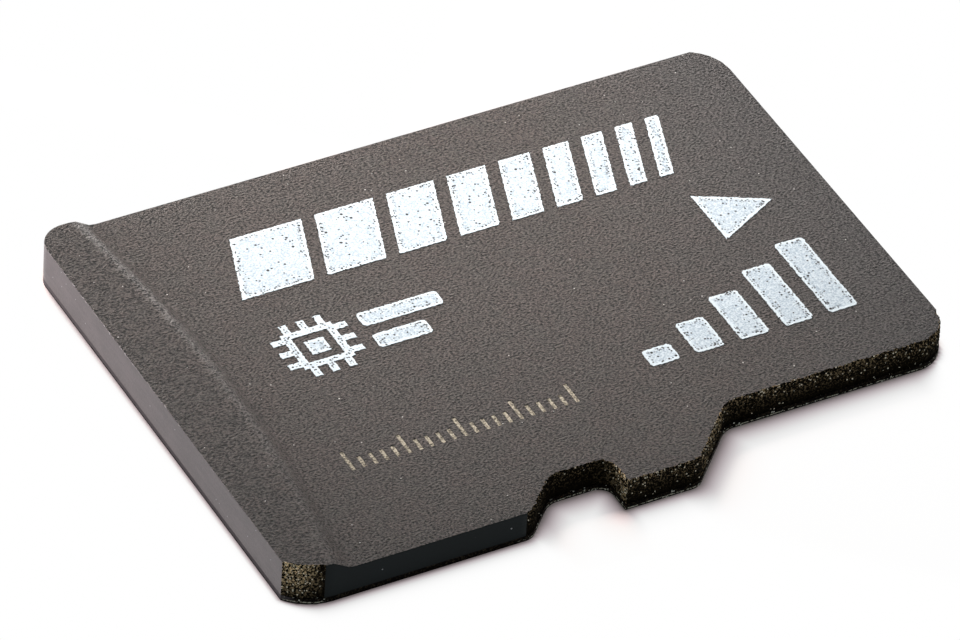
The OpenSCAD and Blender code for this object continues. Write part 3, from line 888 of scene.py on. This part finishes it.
# %% [markdown]
# ## The circuit board
# The board's CAD solid has its true windows and stays as it is; it only needs its finishes. Seen from
# above, its cut edge is a dark band. Where the jet went, one bright and broken line runs along it, as
# the jet frayed the glass cloth. At the grip's end the edge, where it faces the small lamp, is given the
# sawn end's pale grey over all but the lowest part: smeared compound, in the sawn end's painted light.

# %% Board edge
FRAY_LOW, FRAY_HIGH, FRAY_SOFT = 0.028, 0.052, 0.006
SMEAR_FROM, SMEAR_SOFT = 0.026, 0.01
# The smear's grey is the sawn end's painted light.
EDGE_BLACK, EDGE_BROWN, SMEAR_PAINTED_LIGHT_GREY = srgb(2, 1, 1), srgb(120, 104, 84), srgb(100, 92, 94)
# The glint colour is a painted highlight.
FRAYED_GLASS, GLASS_GLINT = srgb(232, 220, 198), srgb(250, 240, 224)


def at_grip_end(surface):
    """1 near the grip's end, 0 further along the card."""
    return surface.ramp(surface.along("X"), grip_x + 0.8, grip_x + 0.6)


def where_jetted(surface):
    """1 along the front from the notch on, and round the grip's front corner."""
    past_lip = surface.ramp(surface.along("X"), lip[0] - 0.4, lip[0])
    in_front = surface.ramp(surface.along("Y"), narrow_y + 0.8, narrow_y + 0.5)
    corner = surface.ramp(surface.along("Y"), front_y + 0.46, front_y + 0.42)
    front = surface.product(past_lip, in_front)
    return surface.math("MAXIMUM", front, surface.product(at_grip_end(surface), corner))


def board_edge_finish():
    """Cut laminate: dark resin, frayed glass where the jet went, smeared compound in painted light at the sawn
    end.
    """
    surface = Finish("board_edge", roughness=0.6, specular=0.02)
    jetted = where_jetted(surface)
    level = surface.math("ADD", surface.along("Z"), surface.wander(0.5, 0.012))
    above = surface.ramp(level, FRAY_LOW - FRAY_SOFT, FRAY_LOW + FRAY_SOFT)
    below = surface.ramp(level, FRAY_HIGH + FRAY_SOFT, FRAY_HIGH - FRAY_SOFT)
    breaks = surface.ramp(surface.noise(0.06, detail=3.0, rough=0.8), 0.47, 0.56)
    clots = surface.ramp(surface.noise(0.045, detail=3.0, rough=0.75), 0.52, 0.64)
    cut = surface.mix(surface.product(clots, 0.3), EDGE_BLACK, EDGE_BROWN)
    cut = surface.mix(surface.product(above, below, breaks, jetted), cut, FRAYED_GLASS)
    # Painted glints: bright dots in the base colour along the jet-cut edge.
    cut = surface.mix(surface.product(surface.dots(0.04, 0.06, 0.5), jetted), cut, GLASS_GLINT)
    facing = surface.part(surface.node("ShaderNodeNewGeometry").outputs["Normal"], "X")
    # Painted light: the smeared grey, on faces towards the small lamp.
    smeared = surface.ramp(level, SMEAR_FROM - SMEAR_SOFT, SMEAR_FROM + SMEAR_SOFT)
    smeared = surface.product(smeared, at_grip_end(surface), surface.ramp(facing, -0.6, -0.8))
    surface.set("Base Color", surface.mix(smeared, cut, SMEAR_PAINTED_LIGHT_GREY))
    surface.bump(surface.noise(0.06), 0.003)
    return surface.material


print(f"glass frays between {FRAY_LOW} and {FRAY_HIGH} above the underside")

# %% [markdown]
# Underneath lies black solder mask, a lacquer with the weave of the glass cloth faintly showing
# through. Edge and underside are two finishes on one solid, chosen by the way each face points.

# %% Solder mask
WEAVE_SCALE = 2.2
MASK_DARK, MASK_LIGHT, MASK_DUST = srgb(15, 17, 16), srgb(30, 32, 29), srgb(120, 118, 112)


def solder_mask_finish():
    """Black lacquer over the board, with the weave of its glass cloth and fine dust in it."""
    surface = Finish("solder_mask", roughness=0.4, specular=0.45)
    weave = surface.node("ShaderNodeTexBrick")
    weave.inputs["Scale"].default_value = WEAVE_SCALE
    surface.link(surface.place, weave.inputs["Vector"])
    mottle = surface.ramp(surface.noise(0.5, detail=3.0), NOISE_LOW, NOISE_HIGH)
    gloss = surface.ramp(surface.noise(0.25, detail=3.0), NOISE_LOW, NOISE_HIGH, 0.34, 0.5)
    surface.paint(surface.mix(mottle, MASK_DARK, MASK_LIGHT), MASK_DUST, spacing=0.08, share=0.01, radius=0.25)
    surface.set("Roughness", gloss)
    surface.bump(surface.math("ADD", weave.outputs["Fac"], surface.noise(0.06)), 0.003)
    return surface.material


board = frame["nodes"]["circuit_board"].data
downward = [polygon.normal.z < -0.5 for polygon in board.polygons]
print(f"{sum(downward)} of the board's {len(downward)} faces look down, under solder mask")

# %% [markdown]
# ## Gold, copper and the parts inside
# The moulding hides everything that stands on the board, but the pieces are real and can be shown
# alone, so each gets a finish too: plated contacts with a fine brushed grain, silicon, amber film,
# tan ceramic and bright tin. The record names a finish for each node, so one loop dresses them all.

# %% Finishes of the CAD nodes
WORN_SHARE = 0.72


def metal_finish(name, colour, roughness, brushed):
    """A thin metal layer with a fine brushed or plated grain."""
    surface = Finish(name, roughness=roughness, specular=0.5, metallic=1.0)
    scratches = surface.noise(0.04, detail=3.0, stretch=(0.15, 1, 1) if brushed else (1, 1, 1))
    worn = shade_of(colour, WORN_SHARE)
    surface.set("Base Color", surface.mix(surface.ramp(scratches, 0.3, 0.75), worn, colour))
    surface.set("Roughness", surface.ramp(scratches, 0.2, 0.8, roughness * 0.8, roughness * 1.3))
    surface.bump(scratches, 0.0012)
    return surface.material


def hidden_finish(name, dark, light, roughness, size):
    """A plain inner material with a slight mottle at its own scale."""
    surface = Finish(name, roughness=roughness, specular=0.4)
    surface.set("Base Color", surface.mix(surface.noise(size, detail=3.0), dark, light))
    surface.bump(surface.noise(size), 0.001)
    return surface.material


finishes = {
    "solder_mask": board_edge_finish(),
    "contact_gold": metal_finish("contact_gold", srgb(236, 196, 118), 0.28, brushed=True),
    "bond_gold": metal_finish("bond_gold", srgb(240, 200, 120), 0.2, brushed=False),
    "copper": metal_finish("copper", srgb(214, 140, 100), 0.35, brushed=False),
    "tin": metal_finish("tin", srgb(200, 200, 204), 0.4, brushed=False),
    "silicon": hidden_finish("silicon", srgb(70, 74, 86), srgb(104, 108, 120), 0.12, 0.8),
    "die_film": hidden_finish("die_film", srgb(170, 134, 70), srgb(206, 172, 108), 0.5, 0.2),
    "ceramic": hidden_finish("ceramic", srgb(140, 104, 70), srgb(176, 138, 98), 0.6, 0.05),
    "resistor_black": hidden_finish("resistor_black", srgb(24, 24, 26), srgb(48, 48, 52), 0.4, 0.05),
}
slot_of = {row["node"]: row["material_slot"] for row in frame["record"]["subparts"]}
dressed = [name for name in frame["nodes"] if slot_of[name] in finishes]
for name in dressed:
    solid = frame["nodes"][name].data
    solid.materials.clear()
    solid.materials.append(finishes[slot_of[name]])
board.materials.append(solder_mask_finish())
board.polygons.foreach_set("material_index", [int(down) for down in downward])
print(f"{len(dressed)} CAD nodes dressed in {len(finishes)} finishes")

# %% [markdown]
# ## White ink
# Pad-printed ink on a grained face has a ragged edge, a full and white rim, and a greyer field with
# pinholes, most of them just inside the rim, where the ink was drawn thin. A shader can't know how far
# it is from the edge of a shape, so the mesh tells it: each point carries its distance from the edge,
# and the material whitens the rim and opens more pinholes beside it.

# %% Ink finish
RIM_BAND = 0.16
INK_GREY, INK_WHITE, INK_RIM = srgb(154, 168, 181), srgb(203, 211, 217), srgb(212, 221, 227)
PINHOLE = srgb(30, 28, 30)
GRAIN_THROUGH_INK = 0.15


def ink_finish():
    """White ink with pinholes through to the moulding."""
    surface = Finish("white_ink", roughness=0.6, specular=0.3)
    edge = surface.node("ShaderNodeAttribute", attribute_name="edge_distance").outputs["Fac"]
    beside_rim = surface.product(surface.ramp(edge, 0.03, 0.05), surface.ramp(edge, RIM_BAND, 0.07))
    holes = surface.product(surface.dots(0.052, 0.6, 0.5), beside_rim)
    for more in (surface.dots(0.054, 0.075, 0.5), surface.dots(0.13, 0.08, 0.27)):
        holes = surface.math("MAXIMUM", holes, more)
    cloud = surface.ramp(surface.noise(0.035, rough=0.6), 0.36, 0.6)
    white = surface.mix(cloud, INK_GREY, INK_WHITE)
    white = surface.mix(surface.ramp(edge, 0.09, 0.03), white, INK_RIM)
    surface.set("Base Color", surface.mix(holes, white, PINHOLE))
    add_grain(surface, GRAIN_HEIGHT * GRAIN_THROUGH_INK)
    return surface.material


ink = ink_finish()
print(f"pinholes crowd the outer {RIM_BAND} of each shape")

# %% [markdown]
# ### Ink shapes
# The shapes are read from the CAD nodes. Noise at two sizes moves the edge a little in and out, as ink
# creeps along the grain. A loop that runs clockwise is a hole in the shape around it.

# %% Ragged outlines
INK_SPACING = 0.03
RAGGED, DRAWN_IN = 0.02, 0.4
CREEP = ((17, 5, 1.0), (40, 9, 0.6))


def ragged_loop(loop):
    """A loop with close points, each moved a little across the edge by noise."""
    sides = zip(loop, np.roll(loop, -1, axis=0))
    dense = np.concatenate([straight(a, b, INK_SPACING)[:-1] for a, b in sides])
    ahead = np.roll(dense, -1, axis=0) - np.roll(dense, 1, axis=0)
    across = np.stack([ahead[:, 1], -ahead[:, 0]], axis=1)
    across /= np.linalg.norm(across, axis=1)[:, None]
    creep = np.array([
        sum(share * noise.noise(Vector((x * pace, y * pace, layer))) for pace, layer, share in CREEP)
        for x, y in dense
    ])
    return dense + across * (RAGGED * (creep - DRAWN_IN))[:, None]


def winding(loop):
    """Above zero where a loop runs anticlockwise, below zero where it runs clockwise."""
    x, y = loop[:, 0], loop[:, 1]
    return float(x @ np.roll(y, -1) - y @ np.roll(x, -1))


print(f"ink edges wander by up to {RAGGED}")

# %% Ink pieces from the CAD outlines
INK_GRID = 0.06
EDGE_CLEARANCE = 0.35


def add_ink_shape(shell, loops, low_z, high_z):
    """One filled shape with its walls; returns the distance of each of its points from the edge."""
    outer = loops[0]
    grid = grid_between(outer.min(axis=0), outer.max(axis=0), INK_GRID)
    grid = grid[inside(grid, loops)]
    grid = grid[distance_to(grid, loops) > INK_GRID * EDGE_CLEARANCE]
    triangles, centres = triangulate(loops, grid)
    flat = np.concatenate(loops + [grid])
    top = shell.add(ring_points(flat, np.full(len(flat), high_z)))
    bottom = shell.add(ring_points(flat, np.full(len(flat), low_z)))
    for (a, b, c), printed in zip(triangles, inside(centres, loops)):
        if printed:
            shell.faces += [(top[a], top[b], top[c]), (bottom[a], bottom[c], bottom[b])]
            shell.slots += [0, 0]
    start = 0
    for loop in loops:
        end = start + len(loop)
        shell.band(bottom[start:end], top[start:end], [0] * len(loop))
        start = end
    edge = list(np.concatenate([np.zeros(start), distance_to(grid, loops)]))
    return edge + edge


def ink_piece(node):
    """A printed shape with ragged edges that stands in for its CAD node."""
    low, high = node_box(node)
    shapes = [ragged_loop(loop) for loop in face_loops(node, high[2])]
    holes = [shape for shape in shapes if winding(shape) < 0]
    shell, edge_distances = Shell(), []
    for outer in (shape for shape in shapes if winding(shape) >= 0):
        loops = [outer] + [hole for hole in holes if inside(hole[:1], [outer])[0]]
        edge_distances += add_ink_shape(shell, loops, low[2], high[2])
    piece = shell.piece(node.replace("_print", "_ink"), [ink], smooth=False)
    attribute = piece.data.attributes.new("edge_distance", "FLOAT", "POINT")
    attribute.data.foreach_set("value", edge_distances)
    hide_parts(node)
    return piece


for node in ("stripe_print", "chip_symbol_print", "rising_blocks_print", "insertion_arrow_print"):
    piece = ink_piece(node)
    print(f"{piece.name}: {len(piece.data.polygons)} faces")

# %% [markdown]
# ## Table
# The card lies on white paper that the photograph shows as plain white, but for a soft warm shade in
# the notch and along the step. More light on the table would also bleach the card, so the paper is
# a light of its own instead, for rays that look at it: camera, glossy and transmission rays. Close
# beside the card it is real paper with its real shade, but the shade's fall-off is painted: each point
# of the sheet knows how far the shade has cleared there, from 0 at the outline to 1, and the material
# blends the two by it. This painted shade reaches furthest in the notch and at the step, so its reach
# goes by the place along the card. Its warm and pink tints are painted too, in the colour the paper
# shows to the camera and in the half shade.

# %% Which rays see plain white


def seen_directly(tree):
    """1 for camera, glossy and transmission rays, 0 for rays that only carry light."""
    rays = tree.nodes.new("ShaderNodeLightPath")
    seen = rays.outputs["Is Camera Ray"]
    for kind in ("Is Glossy Ray", "Is Transmission Ray"):
        either = tree.nodes.new("ShaderNodeMath")
        either.operation = "MAXIMUM"
        tree.links.new(seen, either.inputs[0])
        tree.links.new(rays.outputs[kind], either.inputs[1])
        seen = either.outputs[0]
    return seen


# %% Paper finish
WHITE = (1.0, 1.0, 1.0, 1.0)
PAPER_GREY, PAPER_WHITE = (0.80, 0.83, 0.83, 1.0), (0.84, 0.86, 0.86, 1.0)
# Painted shade colour: the paper shows a warm colour only to rays that see it, which tints its shade.
PAPER_SHADE_WARM = (0.94, 0.74, 0.68, 1.0)
HALF_SHADE, HALF_SHADE_END = (1.0, 0.80, 0.88, 1.0), 0.75


def paper_finish():
    """White paper: real shade beside the card with a painted fall-off and warm tint, turning into plain white
    away from it.
    """
    surface = Finish("paper", roughness=0.9, specular=0.0)
    seen = seen_directly(surface.tree)
    fibres = surface.mix(surface.noise(1.5, detail=3.0), PAPER_GREY, PAPER_WHITE)
    # Painted shade colour: the warm paper seen by the camera turns its shade warm.
    surface.set("Base Color", surface.mix(seen, fibres, PAPER_SHADE_WARM))
    # Painted shade: the clearing share paints how far the real shade reaches before plain white.
    clearing = surface.node("ShaderNodeAttribute", attribute_name="clearing").outputs["Fac"]
    warmth = surface.mix(surface.ramp(clearing, 0.0, HALF_SHADE_END), HALF_SHADE, WHITE)
    plain = surface.node("ShaderNodeEmission")
    surface.link(warmth, plain.inputs["Color"])
    surface.link(seen, plain.inputs["Strength"])
    blend = surface.node("ShaderNodeMixShader")
    surface.link(surface.product(clearing, seen), blend.inputs[0])
    surface.link(surface.shader.outputs[0], blend.inputs[1])
    surface.link(plain.outputs[0], blend.inputs[2])
    surface.link(blend.outputs[0], surface.tree.nodes["Material Output"].inputs["Surface"])
    return surface.material


print(f"warmth of the half shade ends at {HALF_SHADE_END:.0%} cleared")

# %% Paper
FLOOR_GAP, FLOOR_HALF = 0.01, 400
FLOOR_GRID, FLOOR_NEAR, FLOOR_UNDER = 0.08, 1.3, 0.15
SHADE_POWER = 1.15
SHADE_REACH = (
    (grip_x, 0.04), (grip_x + 0.5, 0.13), (lip[0] + 0.1, 0.13), (lip[0] + 0.5, 0.39),
    (wall_x - 0.2, 0.39), (wall_x + 0.2, 0.2), (shoulder[0] - 0.4, 0.2), (shoulder[0] + 0.2, 0.38),
    (step_foot[0] - 0.25, 0.4), (step_foot[0] + 0.55, 0.36), (contact_x - 3.1, 0.31),
    (contact_x - 0.9, 0.27), (contact_x - 0.3, 0.05),
)


def paper_points():
    """Points on the paper close round the card, and how far each is from its outline."""
    coarse = outline[::4]
    points = grid_between(grip_front - FLOOR_NEAR, contact_back + FLOOR_NEAR, FLOOR_GRID)
    gaps = distance_to(points, [coarse])
    covered = inside(points, [coarse])
    near = np.where(covered, gaps < FLOOR_UNDER, gaps < FLOOR_NEAR)
    return points[near], np.where(covered, 0.0, gaps)[near]


border = np.array([(-1, -1), (1, -1), (1, 1), (-1, 1)], float) * FLOOR_HALF
near, gaps = paper_points()
reach = np.interp(near[:, 0], *zip(*SHADE_REACH))
clearing = 1 - np.exp(-((gaps / reach) ** SHADE_POWER))
triangles, _ = triangulate([border], near)
paper = bpy.data.meshes.new("floor")
paper.from_pydata([(x * MM, y * MM, -FLOOR_GAP * MM) for x, y in np.concatenate([border, near])], [], triangles)
cleared = paper.attributes.new("clearing", "FLOAT", "POINT")
cleared.data.foreach_set("value", [1.0] * len(border) + list(clearing))
paper.materials.append(paper_finish())
floor = bpy.data.objects.new("floor", paper)
scene.collection.objects.link(floor)
print(f"paper of {len(paper.polygons)} faces")

# %% [markdown]
# ## Lamps and sky
# One broad soft lamp stands low behind the card, so the grain shows and the top fades from back to
# front, while the near sides stay dark. A small one stands off the grip's back corner and makes the
# sawn end palest there. The sky is dim and slightly blue for light, and plain white to look at.

# %% Lamps


def soft_lamp(name, place, aim, size, power, colour, spread):
    """A square lamp aimed at a point, with its beam held to a spread in degrees."""
    data = bpy.data.lights.new(name, "AREA")
    data.shape = "SQUARE"
    data.size = size * MM
    data.energy = power
    data.color = colour
    data.spread = math.radians(spread)
    lamp = bpy.data.objects.new(name, data)
    lamp.location = Vector(place) * MM
    lamp.rotation_euler = (Vector(aim) - Vector(place)).to_track_quat("-Z", "Y").to_euler()
    lamp.visible_camera = False
    scene.collection.objects.link(lamp)
    print(f"{name}: {power} W at {lamp.location.length / MM:.0f} mm")


soft_lamp(
    "back_lamp", place=(2, 28.5, 20.5), aim=(1, 8.5, 0),
    size=20, power=0.0032, colour=(1.0, 0.965, 0.935), spread=32,
)
soft_lamp(
    "left_lamp", place=(-16, 10.5, 2.5), aim=(-7.5, 4.5, 0.4),
    size=4, power=0.00066, colour=(1.0, 0.95, 0.96), spread=180,
)

# %% Sky
SKY_LIGHT = 0.23
SKY_BLUE = (0.80, 0.94, 1.0, 1.0)

scene.world = bpy.data.worlds.new("sky")
scene.world.use_nodes = True
sky = scene.world.node_tree
seen = seen_directly(sky)
strength = sky.nodes.new("ShaderNodeMapRange")
strength.inputs["To Min"].default_value = SKY_LIGHT
strength.inputs["To Max"].default_value = 1.0
tint = sky.nodes.new("ShaderNodeMix")
tint.data_type = "RGBA"
tint.inputs["A"].default_value = SKY_BLUE
tint.inputs["B"].default_value = WHITE
background = sky.nodes["Background"]
sky.links.new(seen, strength.inputs["Value"])
sky.links.new(seen, tint.inputs["Factor"])
sky.links.new(tint.outputs["Result"], background.inputs["Color"])
sky.links.new(strength.outputs["Result"], background.inputs["Strength"])
scene.view_settings.view_transform = "Standard"
print(f"sky at {SKY_LIGHT} for light, at 1 to look at")
